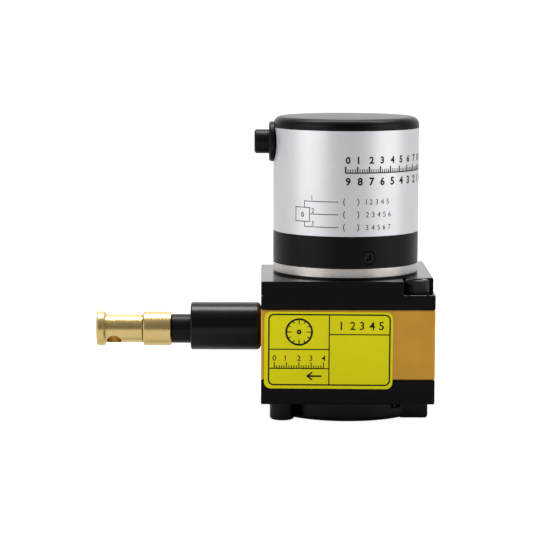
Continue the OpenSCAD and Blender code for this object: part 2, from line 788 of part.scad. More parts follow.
module sensor_flange() {
    color("#b9b6b2") difference() {
        union() {
            translate([0, 0, z_flange]) tube(sensor_r, flange_bore_r, flange_h);
            translate([0, 0, z_cover - CUT]) tube(spigot_r, spigot_bore_r, spigot_h + CUT);
        }
        around_sensor(60) translate([0, -flange_screw_reach, z_flange - CUT])
            cylinder(d = flange_screw_d + 0.4, h = flange_h + 2 * CUT);
        around_sensor(0) at_cover_screw() translate([0, 0, -5]) cylinder(d = cover_screw_d + 2 * FIT, h = 5);
        at_bracket_screws() translate([0, 0, z_spigot - bracket_grip - 1])
            cylinder(d = bracket_screw_d + 2 * FIT, h = bracket_grip + 1 + CUT);
    }
}

module flange_screws() {
    color("#85888b") around_sensor(60) translate([0, -flange_screw_reach, z_cover])
        socket_screw(flange_screw_d - 2 * FIT, 1.8 * flange_screw_d, flange_screw_d,
                     flange_h + gasket_h + flange_grip, 0.83 * flange_screw_d);
}

// Frame on the cover's side wall, with +Z pointing outwards
module at_cover_screw() {
    translate([0, -sensor_r, z_cover + cover_screw_z]) rotate([90, 0, 0]) children();
}

cover_head_d = 1.9 * cover_screw_d;
cover_head_h = 0.55 * cover_screw_d;
cover_screw_sink = 0.3;

module cover_blank() {
    rotate_extrude() {
        square([sensor_r, cover_h - cover_round]);
        square([sensor_r - cover_round, cover_h]);
        translate([sensor_r - cover_round, cover_h - cover_round]) intersection() {
            circle(r = cover_round);
            square(cover_round);
        }
    }
}

module sensor_cover() {
    inner_r = sensor_r - cover_wall;
    foot_gap = 0.3;
    color("#242425") difference() {
        union() {
            difference() {
                translate([0, 0, z_cover]) cover_blank();
                translate([0, 0, z_cover - CUT]) cylinder(r = inner_r, h = cover_h - cover_roof + CUT);
                translate([0, 0, z_cover + cover_band]) tube(sensor_r + CUT, sensor_r - wrap_t, wrap_h);
            }
            intersection() {
                x_rod(gland_nut_w / 2 + 0.9, -inner_r - cover_wall / 2, x_gland_pad, 0, z_gland);
                translate([0, 0, z_cover]) cylinder(r = inner_r + cover_wall / 2, h = cover_h - cover_roof / 2);
            }
        }
        translate([0, 0, z_cover - CUT]) tube(sensor_r + CUT, spigot_r - CUT, foot_gap + CUT);
        x_rod(gland_flange_d / 2 + 0.15, -sensor_r - CUT, x_gland_seat, 0, z_gland);
        x_rod(gland_thread_d / 2 + FIT, -sensor_r - CUT, x_gland_pad + CUT, 0, z_gland);
        around_sensor(0) at_cover_screw() translate([0, 0, -cover_screw_sink]) rotate_extrude() polygon([
            [0, -3], [cover_screw_d / 2 + 0.1, -3], [cover_screw_d / 2 + 0.1, -cover_head_h],
            [cover_head_d / 2 + 0.08, 0], [cover_head_d / 2 + 0.08, 1], [0, 1]]);
    }
}

module cover_wrap() {
    seam_w = 0.4;
    color("#c3c3ca") difference() {
        translate([0, 0, z_cover + cover_band]) tube(sensor_r, sensor_r - wrap_t, wrap_h);
        x_rod(gland_flange_d / 2 + 0.15, -sensor_r - CUT, 0, 0, z_gland);
        translate([-seam_w / 2, 0, z_cover]) cube([seam_w, 2 * sensor_r, cover_h]);
    }
}

module cover_screws() {
    color("#4a4a4c") around_sensor(0) at_cover_screw() translate([0, 0, -cover_screw_sink]) difference() {
        countersink(cover_screw_d, cover_head_d, cover_head_h, 4.2);
        rotate(22) cross_recess(2.3, 0.5, 0.7);
    }
}

module cable_gland() {
    x_flange = x_gland_seat - gland_flange_t;
    x_stub = x_flange - gland_stub_len;
    x_grip = x_flange + 0.6 * gland_flange_t;
    grip_step = 0.3;
    round_r = 0.5;
    color("#1d1d1f") difference() {
        union() {
            x_disc(gland_flange_d / 2, x_flange, x_gland_seat, round_r, 0, z_gland);
            x_disc(gland_stub_d / 2, x_stub, x_flange + 2 * round_r, round_r, 0, z_gland);
            x_rod(gland_thread_d / 2, x_gland_seat - CUT, x_gland_pad + 2.6, 0, z_gland);
        }
        x_rod(gland_bore_d / 2, x_stub - CUT, x_grip, 0, z_gland);
        x_rod(gland_bore_d / 2 - grip_step, x_grip - CUT, 0, 0, z_gland);
    }
}

module gland_nut() {
    nut_t = 2.2;
    color("#2b2b2d") translate([x_gland_pad, 0, z_gland]) rotate([0, 90, 0]) difference() {
        cylinder(d = gland_nut_w / cos(30), h = nut_t, $fn = 6);
        translate([0, 0, -CUT]) cylinder(d = gland_thread_d + 2 * FIT, h = nut_t + 2 * CUT);
    }
}

// ---- Coupling and potentiometer ----

module shaft_coupling() {
    color("#cfd1d4") difference() {
        translate([0, 0, coupling_bottom]) tube(coupling_d / 2, shaft_r + FIT, coupling_len);
        at_coupling_screws() x_rod(set_screw_d / 2 + FIT, 0, coupling_d, 0, 0);
    }
}

module at_coupling_screws() {
    for (z = [coupling_bottom + 2.6, coupling_top - 2.6]) translate([0, 0, z]) children();
}

module coupling_screws() {
    color("#3b3b3d") at_coupling_screws() set_screw(coupling_d / 2 - 0.2);
}

module at_bracket_screws() {
    for (i = [0:2]) rotate(i * 120 + 30) translate([(spigot_r + spigot_bore_r) / 2, 0, 0]) children();
}

module pot_bracket() {
    color("#c4c7ca") translate([0, 0, z_spigot]) difference() {
        cylinder(r = spigot_r, h = bracket_t);
        translate([0, 0, -CUT]) cylinder(d = pot_bush_d + 2 * FIT, h = bracket_t + 2 * CUT);
        at_bracket_screws() translate([0, 0, -CUT]) cylinder(d = bracket_screw_d + 0.3, h = bracket_t + 2 * CUT);
    }
}

module bracket_screws() {
    head_h = 0.6 * bracket_screw_d;
    shank_len = bracket_t + bracket_grip;
    color("#85888b") at_bracket_screws() translate([0, 0, z_pot]) difference() {
        union() {
            cylinder(d = 1.68 * bracket_screw_d, h = head_h);
            translate([0, 0, -shank_len]) cylinder(d = bracket_screw_d, h = shank_len + CUT);
        }
        translate([0, 0, head_h]) cross_recess(0.96 * bracket_screw_d, 0.24 * bracket_screw_d, 0.5 * head_h);
    }
}

module pot_front() {
    color("#a9acae") translate([0, 0, z_pot]) difference() {
        union() {
            cylinder(r = pot_r, h = pot_front_t);
            translate([0, 0, -pot_bush_len]) cylinder(d = pot_bush_d, h = pot_bush_len + CUT);
        }
        translate([0, 0, -pot_bush_len - CUT])
            cylinder(r = shaft_r + RUN, h = pot_bush_len + pot_front_t + 2 * CUT);
    }
}

module pot_case() {
    color("#22406b") difference() {
        translate([0, 0, z_pot + pot_front_t]) cylinder(r = pot_r, h = pot_top - z_pot - pot_front_t);
        translate([0, 0, z_pot]) cylinder(r = element_r, h = pot_top - z_pot - pot_wall);
    }
}

module pot_element() {
    element_t = 0.8;
    color("#6b4a2c") translate([0, 0, rotor_bottom])
        tube(element_r - FIT, element_r - element_t, rotor_top - rotor_bottom - 0.4);
}

module pot_terminals() {
    lug_w = 0.18 * pot_r;
    lug_end = 1.4 * pot_r;
    lug_pitch = 0.38 * pot_r;
    lug_t = 0.5;
    color("#d0b873") translate([0, 0, pot_top - 2 * lug_w]) difference() {
        for (i = [-1:1]) translate([pot_r / 2, i * lug_pitch - lug_w / 2, 0])
            cube([lug_end - pot_r / 2, lug_w, lug_t]);
        for (i = [-1:1]) translate([lug_end - 0.6 * lug_w, i * lug_pitch, -CUT])
            cylinder(d = lug_w / 2, h = lug_t + 2 * CUT);
        translate([0, 0, -CUT]) cylinder(r = pot_r + FIT, h = lug_t + 2 * CUT);
    }
}

module pot_washer() {
    washer_t = 0.6;
    color("#b5b8bb") translate([0, 0, z_spigot - washer_t])
        tube(pot_nut_w / 2, pot_bush_d / 2 + FIT, washer_t);
}

module pot_nut() {
    nut_t = 2.4;
    color("#b5b8bb") translate([0, 0, z_spigot - 0.6 - nut_t]) difference() {
        cylinder(d = pot_nut_w / cos(30), h = nut_t, $fn = 6);
        translate([0, 0, -CUT]) cylinder(d = pot_bush_d + 2 * FIT, h = nut_t + 2 * CUT);
    }
}

module pot_shaft() {
    color("#b9bdc1") translate([0, 0, pot_shaft_bottom]) cylinder(r = shaft_r, h = rotor_top - pot_shaft_bottom);
}

// Slot in the rotor that the wiper climbs
module wiper_slot(r_in, r_out, w, z0, z1) {
    translate([r_in, -w / 2, z0]) cube([r_out - r_in, w, z1 - z0]);
}

module pot_rotor() {
    color("#e6e2d8") difference() {
        translate([0, 0, rotor_bottom]) tube(rotor_r, shaft_r + FIT, rotor_top - rotor_bottom);
        wiper_slot(rotor_r - 2, rotor_r + CUT, 3, wiper_z - SEAT, wiper_z + wiper_h + wiper_travel + SEAT);
    }
}

module pot_wiper() {
    color("#c99a4a") wiper_slot(rotor_r - 2 + SEAT, element_r - 0.8 - SEAT, 3 - 2 * SEAT, wiper_z, wiper_z + wiper_h);
}

// ---- Label ----

module front_label() {
    corner_x = label_w / 2 - label_r;
    corner_y = label_h / 2 - label_r;
    centre_x = x_face + label_inset + label_w / 2;
    centre_z = z_roof - label_drop - label_h / 2;
    color("#c8c41a") translate([centre_x, -half_w, centre_z]) rotate([90, label_tilt, 0]) linear_extrude(label_t) {
        square([label_w, 2 * corner_y], center = true);
        square([2 * corner_x, label_h], center = true);
        for (sx = [-1, 1], sy = [-1, 1]) translate([sx * corner_x, sy * corner_y]) circle(r = label_r);
    }
}

top_plate();
drum_housing();
bottom_plate();
body_screws();
spring_cover();
spring_cover_screws();
power_spring();
spring_arbor();
drum_shaft();
wire_drum();
drum_set_screws();
wire_winding();
shaft_circlip();
lower_bearing_outer_ring();
lower_bearing_inner_ring();
upper_bearing_outer_ring();
upper_bearing_inner_ring();
bearing_balls();
bearing_cages();
bearing_shields();
wire_nozzle();
guide_eyelet();
draw_wire();
wire_ferrule();
clip_stem();
stop_sleeve();
clip_collar();
clip_eye();
flange_gasket();
sensor_flange();
flange_screws();
sensor_cover();
cover_wrap();
cover_screws();
cable_gland();
gland_nut();
shaft_coupling();
coupling_screws();
pot_bracket();
bracket_screws();
pot_front();
pot_case();
pot_element();
pot_terminals();
pot_washer();
pot_nut();
pot_shaft();
pot_rotor();
pot_wiper();
front_label();
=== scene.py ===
"""Looks of a draw wire encoder: finishes, printed films, detailed small pieces, studio and camera."""
import json
import math

import bmesh
import bpy
from mathutils import Matrix, Vector


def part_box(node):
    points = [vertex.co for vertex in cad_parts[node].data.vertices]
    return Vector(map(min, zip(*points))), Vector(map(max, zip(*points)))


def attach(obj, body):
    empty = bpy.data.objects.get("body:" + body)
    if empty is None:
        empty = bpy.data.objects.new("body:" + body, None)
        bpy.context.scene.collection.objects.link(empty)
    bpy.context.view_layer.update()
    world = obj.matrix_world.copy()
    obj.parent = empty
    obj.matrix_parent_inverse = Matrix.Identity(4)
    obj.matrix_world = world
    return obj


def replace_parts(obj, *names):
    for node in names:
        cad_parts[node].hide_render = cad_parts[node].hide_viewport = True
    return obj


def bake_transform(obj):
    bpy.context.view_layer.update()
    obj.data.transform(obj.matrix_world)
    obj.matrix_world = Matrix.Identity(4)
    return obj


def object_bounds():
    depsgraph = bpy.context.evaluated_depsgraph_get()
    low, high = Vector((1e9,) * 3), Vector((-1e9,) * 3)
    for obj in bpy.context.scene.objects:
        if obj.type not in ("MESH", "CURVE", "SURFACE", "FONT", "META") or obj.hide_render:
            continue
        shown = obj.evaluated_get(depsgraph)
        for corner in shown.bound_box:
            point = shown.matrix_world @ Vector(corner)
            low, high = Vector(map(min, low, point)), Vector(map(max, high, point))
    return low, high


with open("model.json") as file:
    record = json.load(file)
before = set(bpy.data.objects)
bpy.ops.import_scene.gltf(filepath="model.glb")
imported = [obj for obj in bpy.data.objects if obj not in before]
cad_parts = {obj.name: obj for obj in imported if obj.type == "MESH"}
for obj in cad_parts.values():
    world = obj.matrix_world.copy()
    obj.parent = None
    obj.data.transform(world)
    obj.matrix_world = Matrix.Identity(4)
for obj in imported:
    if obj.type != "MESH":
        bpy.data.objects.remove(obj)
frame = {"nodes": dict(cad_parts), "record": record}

MM = 0.001
nodes = frame["nodes"]
cad_low, cad_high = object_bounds()

X_AXIS, Z_AXIS = 0, 2
BODY_HEAD_H = 4.0  # height of a body screw's head, in millimetres


# ---- Places read from the frame ----

def radius_about_z(node):
    low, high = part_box(node)
    return (high.y - low.y) / 2


def screw_head(node, side):
    """Axis (x, y) and top level in millimetres of the screw on one side of X = 0."""
    mine = [v.co / MM for v in nodes[node].data.vertices if v.co.x * side > 0]
    axis = [(min(c[i] for c in mine) + max(c[i] for c in mine)) / 2 for i in (0, 1)]
    return axis, max(c.z for c in mine)


# ---- Mesh helpers ----

def new_piece(name, bm, material, body, sharp_angle=35):
    """Turns a bmesh in metres into a piece that rides on a body."""
    mesh = bpy.data.meshes.new(name)
    bmesh.ops.recalc_face_normals(bm, faces=bm.faces)
    bm.to_mesh(mesh)
    bm.free()
    mesh.shade_smooth()
    mesh.set_sharp_from_angle(angle=math.radians(sharp_angle))
    mesh.materials.append(material)
    piece = bpy.data.objects.new(name, mesh)
    bpy.context.scene.collection.objects.link(piece)
    if body:
        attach(piece, body)
    return piece


def ring_stack(bm, rings):
    """Joins rings of equally many points with quads, and closes both ends."""
    layers = [[bm.verts.new(point) for point in ring] for ring in rings]
    for low, high in zip(layers, layers[1:]):
        for i in range(len(low)):
            j = (i + 1) % len(low)
            bm.faces.new((low[i], low[j], high[j], high[i]))
    bm.faces.new(layers[0])
    bm.faces.new(layers[-1])


# ---- Node helpers ----

class Finish:
    """A material whose colour, roughness and relief come from noise in the object's own frame."""

    def __init__(self, name):
        self.material = bpy.data.materials.new(name)
        self.material.use_nodes = True
        self.tree = self.material.node_tree
        self.shader = self.tree.nodes["Principled BSDF"]
        self.coords = self.add("ShaderNodeTexCoord").outputs["Object"]

    def add(self, kind, **settings):
        node = self.tree.nodes.new(kind)
        for key, value in settings.items():
            setattr(node, key, value)
        return node

    def link(self, source, target):
        self.tree.links.new(source, target)

    def set(self, **values):
        for key, value in values.items():
            self.shader.inputs[key.replace("_", " ")].default_value = value

    def round_edges(self, radius_mm):
        """Breaks sharp edges by a small radius, under the relief."""
        rounded = self.add("ShaderNodeBevel", samples=6)
        rounded.inputs["Radius"].default_value = radius_mm * MM
        self.link(rounded.outputs["Normal"], self.shader.inputs["Normal"])

    def noise(self, per_mm, detail=3.0, stretch=(1, 1, 1)):
        """Noise with about per_mm features to the millimetre, scaled along each axis by stretch."""
        mapping = self.add("ShaderNodeMapping")
        mapping.inputs["Scale"].default_value = [per_mm * 1000 * s for s in stretch]
        texture = self.add("ShaderNodeTexNoise")
        texture.inputs["Scale"].default_value = 1.0
        texture.inputs["Detail"].default_value = detail
        texture.inputs["Roughness"].default_value = 0.6
        self.link(self.coords, mapping.inputs["Vector"])
        self.link(mapping.outputs["Vector"], texture.inputs["Vector"])
        return texture.outputs["Fac"]

    def remap(self, source, low, high, start=0.3, end=0.7):
        """Maps start..end of the source to low..high."""
        node = self.add("ShaderNodeMapRange")
        for key, value in (("From Min", start), ("From Max", end), ("To Min", low), ("To Max", high)):
            node.inputs[key].default_value = value
        self.link(source, node.inputs["Value"])
        return node.outputs["Result"]

    def colours(self, factor, first, second):
        node = self.add("ShaderNodeMix", data_type="RGBA")
        node.inputs["A"].default_value = (*first, 1)
        node.inputs["B"].default_value = (*second, 1)
        self.link(factor, node.inputs["Factor"])
        return node.outputs["Result"]

    def relief(self, height, depth_mm):
        """Adds a height map to the relief, under what is already there."""
        bump = self.add("ShaderNodeBump")
        bump.inputs["Distance"].default_value = depth_mm * MM
        bump.inputs["Strength"].default_value = 1.0
        self.link(height, bump.inputs["Height"])
        socket = self.shader.inputs["Normal"]
        if socket.is_linked:
            self.link(socket.links[0].from_socket, bump.inputs["Normal"])
        self.link(bump.outputs["Normal"], socket)

    def crown(self, per_metre):
        """Domes faces that look along Z: tilts normals outwards with the distance from the Z axis."""
        outwards = self.add("ShaderNodeVectorMath", operation="MULTIPLY_ADD")
        outwards.inputs[1].default_value = (per_metre, per_metre, 0)
        self.link(self.coords, outwards.inputs[0])
        socket = self.shader.inputs["Normal"]
        self.link(socket.links[0].from_socket, outwards.inputs[2])
        unit = self.add("ShaderNodeVectorMath", operation="NORMALIZE")
        self.link(outwards.outputs["Vector"], unit.inputs[0])
        self.link(unit.outputs["Vector"], socket)


def scaled(colour, factor):
    return tuple(min(1.0, c * factor) for c in colour)


def plain_finish(name, colour, roughness, metallic=0.0, spread=0.12, grain=2.0, grain_depth=0.004,
                 stretch=(1, 1, 1), edge=0.0, specular=None):
    """A finish with cloudy colour and gloss, broken edges, and a grain of the given depth and direction.

    The spread is the colour's share that varies, grain is per millimetre, and depth and edge are in
    millimetres.
    """
    clouds_per_mm, gloss_spread = 0.12, 0.12
    finish = Finish(name)
    if edge:
        finish.round_edges(edge)
    clouds = finish.noise(clouds_per_mm, detail=4)
    grain_map = finish.noise(grain, detail=2, stretch=stretch)
    tone = finish.remap(clouds, 0, 1)
    finish.link(finish.colours(tone, scaled(colour, 1 - spread), scaled(colour, 1 + spread)),
                finish.shader.inputs["Base Color"])
    gloss = finish.remap(grain_map, roughness * (1 - gloss_spread), roughness * (1 + gloss_spread))
    finish.link(gloss, finish.shader.inputs["Roughness"])
    finish.relief(grain_map, grain_depth)
    finish.set(Metallic=metallic)
    if specular is not None:
        finish.set(Specular_IOR_Level=specular)
    return finish


def turned_finish(name, colour, roughness, axis, groove=0.006, grain=9.0, spread=0.06, metallic=1.0,
                  edge=0.0):
    """Turned metal: fine grooves that run round the given axis."""
    along = tuple(1.0 if i == axis else 0.02 for i in range(3))
    return plain_finish(name, colour, roughness, metallic, spread, grain, groove, along, edge)


def tint(finish, share, colour):
    """Mixes a colour over the base colour by the given share."""
    mix = finish.add("ShaderNodeMix", data_type="RGBA")
    mix.inputs["B"].default_value = (*colour, 1)
    base = finish.shader.inputs["Base Color"]
    finish.link(base.links[0].from_socket, mix.inputs["A"])
    finish.link(share, mix.inputs["Factor"])
    finish.link(mix.outputs["Result"], base)


def dark_recesses(finish, colour, reach_mm, amount):
    """Paints shade into holes and inner corners: darkens the colour where the surface is closed in."""
    hollow = finish.add("ShaderNodeAmbientOcclusion", samples=8)
    hollow.inputs["Distance"].default_value = reach_mm * MM
    tint(finish, finish.remap(hollow.outputs["AO"], amount, 0, start=0.2, end=0.75), colour)


def near_edges(finish, radius_mm, amount):
    """Grows towards the given amount within a distance of the edges."""
    rounded = finish.add("ShaderNodeBevel", samples=4)
    rounded.inputs["Radius"].default_value = radius_mm * MM
    geometry = finish.add("ShaderNodeNewGeometry")
    agree = finish.add("ShaderNodeVectorMath", operation="DOT_PRODUCT")
    finish.link(rounded.outputs["Normal"], agree.inputs[0])
    finish.link(geometry.outputs["Normal"], agree.inputs[1])
    return finish.remap(agree.outputs["Value"], amount, 0, start=0.75, end=0.99)


def product(finish, first, second):
    node = finish.add("ShaderNodeMath", operation="MULTIPLY")
    finish.link(first, node.inputs[0])
    finish.link(second, node.inputs[1])
    return node.outputs["Value"]


def worn_edges(finish, metal_and_highlight_colour, radius_mm=0.15, amount=0.6):
    """Lightens the colour along the edges: wear where handling rubs the finish, and a painted highlight
    where the edges catch the light.
    """
    patches = finish.remap(finish.noise(1.3), 0.4, 1)
    tint(finish, product(finish, near_edges(finish, radius_mm, amount), patches), metal_and_highlight_colour)


def bare_edges_at(finish, metal_and_highlight_colour, level_mm):
    """White along the edges just under one level: metal milled after the coating, with a painted highlight,
    broken into patches.
    """
    half_band, reach = 0.25, 0.25
    split = finish.add("ShaderNodeSeparateXYZ")
    finish.link(finish.coords, split.inputs["Vector"])
    at_level = finish.add("ShaderNodeMath", operation="COMPARE")
    at_level.inputs[1].default_value = (level_mm - half_band) * MM
    at_level.inputs[2].default_value = half_band * MM
    finish.link(split.outputs["Z"], at_level.inputs[0])
    patches = finish.remap(finish.noise(0.35), 0, 1, start=0.36, end=0.44)
    edge = product(finish, near_edges(finish, reach, 1), at_level.outputs["Value"])
    tint(finish, product(finish, edge, patches), metal_and_highlight_colour)


# ---- Finishes, one for each material slot of the record ----

def black_plate():
    """Black anodised plate: broken edges that catch the light, lightened by wear and a painted highlight,
    and the front notch's floor edge painted white as a highlight on milled metal.
    """
    finish = plain_finish("black_plate", (0.0013, 0.0013, 0.0013), 0.2, spread=0.2, grain=5.0,
                          grain_depth=0.0015, edge=0.25, specular=0.1)
    worn_edges(finish, (0.03, 0.03, 0.032))
    bare_edges_at(finish, (1, 1, 1), screw_head("body_screws", 1)[1] - BODY_HEAD_H)
    return finish


def gold_anodised():
    """Anodised and brushed lengthways, so its grain is long in X and Y and short in Z."""
    finish = plain_finish("gold_anodised", (0.60, 0.308, 0.030), 0.42, metallic=0.45, spread=0.05, grain=6.0,
                          grain_depth=0.003, stretch=(0.06, 0.06, 1), edge=0.2)
    # Lighter edges: painted highlight where they catch the light, and rubbed wear.
    worn_edges(finish, (0.85, 0.68, 0.38), amount=0.7)
    return finish


def black_oxide_steel():
    """Black screws: lighter along the edges with rubbed wear and a painted highlight, and darker in the
    sockets with painted shade.
    """
    finish = plain_finish("black_oxide_steel", (0.004, 0.004, 0.0042), 0.32, metallic=0.2, spread=0.3,
                          grain=3.0, grain_depth=0.01, edge=0.1, specular=0.25)
    worn_edges(finish, (0.2, 0.2, 0.205), 0.12, 0.5)
    dark_recesses(finish, (0.001, 0.001, 0.001), 0.8, 0.9)
    return finish


def black_cover():
    """Black coated cup with a slightly domed cap."""
    finish = plain_finish("black_cover", (0.0009, 0.0009, 0.001), 0.34, spread=0.15, grain=7.0,
                          grain_depth=0.005, edge=0.15, specular=0.13)
    finish.crown(1.3)
    return finish


def spring_cover():
    return plain_finish("spring_cover", (0.0013, 0.0013, 0.0014), 0.24, spread=0.2, grain=1.2,
                        grain_depth=0.02, edge=0.2, specular=0.2)


def spring_steel():
    """Blued and oiled strip."""
    finish = turned_finish("spring_steel", (0.10, 0.105, 0.125), 0.3, Z_AXIS)
    # Painted shade: the strip darkens where it is closed in, which dims its glints in the can's slot.
    dark_recesses(finish, (0.01, 0.01, 0.012), 3, 0.95)
    return finish


def bright_steel():
    return turned_finish("bright_steel", (0.60, 0.61, 0.62), 0.22, Z_AXIS)


def brass():
    """Turned brass, a little mottled, with painted shade inside its holes."""
    finish = turned_finish("brass", (0.76, 0.575, 0.235), 0.25, X_AXIS, groove=0.012, grain=3.0, edge=0.12)
    finish.relief(finish.noise(2.2, detail=4), 0.035)
    dark_recesses(finish, (0.03, 0.017, 0.007), 1.6, 0.95)
    return finish


def drum_aluminium():
    return turned_finish("drum_aluminium", (0.72, 0.73, 0.74), 0.3, Z_AXIS)


def cast_ring():
    """Bare machined casting with small dark pores."""
    finish = plain_finish("cast_ring", (0.56, 0.53, 0.51), 0.34, metallic=0.9, spread=0.10, grain=4.0,
                          grain_depth=0.02, edge=0.15)
    pores = finish.remap(finish.noise(2.6, detail=2), 0, 0.6, start=0.58, end=0.74)
    tint(finish, pores, (0.16, 0.15, 0.14))
    return finish


def ceramic():
    finish = plain_finish("ceramic", (0.85, 0.82, 0.76), 0.15, spread=0.03, grain=4.0, grain_depth=0.001)
    finish.set(Coat_Weight=0.4)
    return finish


def black_rubber():
    return plain_finish("black_rubber", (0.0022, 0.0022, 0.0024), 0.36, spread=0.2, grain=6.0,
                        grain_depth=0.006, edge=0.15, specular=0.17)


def black_nozzle():
    return plain_finish("black_nozzle", (0.0005, 0.0005, 0.0006), 0.25, spread=0.2, grain=4.0,
                        grain_depth=0.008, edge=0.2, specular=0.25)


def silver_wrap():
    """Silver film with a fine vertical grain."""
    return plain_finish("silver_wrap", (0.68, 0.67, 0.71), 0.42, metallic=0.6, spread=0.03, grain=6.0,
                        grain_depth=0.002, stretch=(1, 1, 0.08), edge=0.2)


def wire_steel():
    """Stainless wire: fine slanting lines stand for the wires inside each strand."""
    finish = plain_finish("wire_steel", (0.52, 0.53, 0.54), 0.3, metallic=1.0, spread=0.1, grain=8.0,
                          grain_depth=0.002)
    lines = finish.add("ShaderNodeTexWave", bands_direction="DIAGONAL")
    lines.inputs["Scale"].default_value = 1300
    finish.link(finish.coords, lines.inputs["Vector"])
    finish.relief(lines.outputs["Fac"], 0.03)
    return finish


def pot_blue():
    return plain_finish("pot_blue", (0.03, 0.075, 0.2), 0.4, spread=0.1, grain=4.0, grain_depth=0.006)


def pot_white():
    return plain_finish("pot_white", (0.8, 0.77, 0.7), 0.4, spread=0.04, grain=4.0)


def element():
    """Resistance wire wound in close turns."""
    return turned_finish("element", (0.14, 0.07, 0.03), 0.4, Z_AXIS, groove=0.03, grain=5.0, spread=0.2,
                         metallic=0.3)


def gilt():
    return plain_finish("gilt", (0.8, 0.6, 0.25), 0.25, metallic=1.0, spread=0.05, grain=5.0,
                        grain_depth=0.002)


def label_yellow():
    return plain_finish("label_yellow", (0.72, 0.67, 0.001), 0.45, spread=0.02, grain=5.0,
                        grain_depth=0.002, specular=0.18)


FINISHES = [black_plate, gold_anodised, black_oxide_steel, black_cover, spring_cover, spring_steel,
            bright_steel, brass, drum_aluminium, cast_ring, ceramic, black_rubber, black_nozzle,
            silver_wrap, wire_steel, pot_blue, pot_white, element, gilt, label_yellow]
materials = {make.__name__: make().material for make in FINISHES}
ink = plain_finish("printing_ink", (0.009, 0.010, 0.006), 0.45, spread=0.3, grain=6.0, grain_depth=0.002,
                   specular=0.12).material

for part in frame["record"]["subparts"]:
    data = nodes[part["node"]].data
    data.materials.clear()
    data.materials.append(materials[part["material_slot"]])


# ---- Printed marks, in millimetres ----

PRINT_PROUD = 0.02
TICKS_PER_FIGURE = 5


def add_strip(bm, points, width, closed=False):
    """A line of constant width through flat points (x, y), with mitred corners."""
    count = len(points)
    left, right = [], []
    for i, point in enumerate(points):
        here = Vector(point)
        before = Vector(points[i - 1]) if closed or i else None
        after = Vector(points[(i + 1) % count]) if closed or i < count - 1 else None
        into = (here - before).normalized() if before else (after - here).normalized()
        out = (after - here).normalized() if after else into
        normal = Vector((-(into + out).y, (into + out).x)).normalized()
        reach = width / 2 / max(0.5, normal.dot(Vector((-into.y, into.x))))
        left.append(bm.verts.new((*(here + normal * reach), 0)))
        right.append(bm.verts.new((*(here - normal * reach), 0)))
    for i in range(count if closed else count - 1):
        j = (i + 1) % count
        bm.faces.new((right[i], right[j], left[j], left[i]))


def arc_points(x, y, radius, start, end, steps):
    """Points on an arc, in degrees from the X axis."""
    angles = [math.radians(start + (end - start) * i / steps) for i in range(steps + 1)]
    return [(x + radius * math.cos(angle), y + radius * math.sin(angle)) for angle in angles]


def add_circle(bm, x, y, radius, width, steps):
    add_strip(bm, arc_points(x, y, radius, 0, 360, steps)[:-1], width, closed=True)


def add_ticks(bm, places, y, short, long, thin, thick):
    """Scale marks that stand on a line, the ones at the figures long and thick."""
    for step, x in enumerate(places):
        at_figure = step % TICKS_PER_FIGURE == 0
        add_strip(bm, [(x, y), (x, y + (long if at_figure else short))], thick if at_figure else thin)


def rounded_rectangle(x0, y0, x1, y1, radius, steps=8):
    corners = [(x1 - radius, y0 + radius, -90), (x1 - radius, y1 - radius, 0),
               (x0 + radius, y1 - radius, 90), (x0 + radius, y0 + radius, 180)]
    return [p for x, y, start in corners for p in arc_points(x, y, radius, start, start + 90, steps)]


def add_digits(bm, digits, x, y, height, weight=0.0):
    """Plain figures with their lower left corner at (x, y). Returns where they end."""
    curve = bpy.data.curves.new("digits", "FONT")
    curve.body = digits
    curve.offset = weight
    curve.resolution_u = 3
    holder = bpy.data.objects.new("digits", curve)
    mesh = bpy.data.meshes.new_from_object(holder)
    low_x, low_y = (min(v.co[i] for v in mesh.vertices) for i in (0, 1))
    high_y = max(v.co.y for v in mesh.vertices)
    to_corner = Matrix.Translation((-low_x, -low_y, 0))
    scale = Matrix.Scale(height / (high_y - low_y), 4)
    mesh.transform(Matrix.Translation((x, y, 0)) @ scale @ to_corner)
    end = max(v.co.x for v in mesh.vertices)
    bm.from_mesh(mesh)
    bpy.data.objects.remove(holder)
    bpy.data.curves.remove(curve)
    bpy.data.meshes.remove(mesh)
    return end


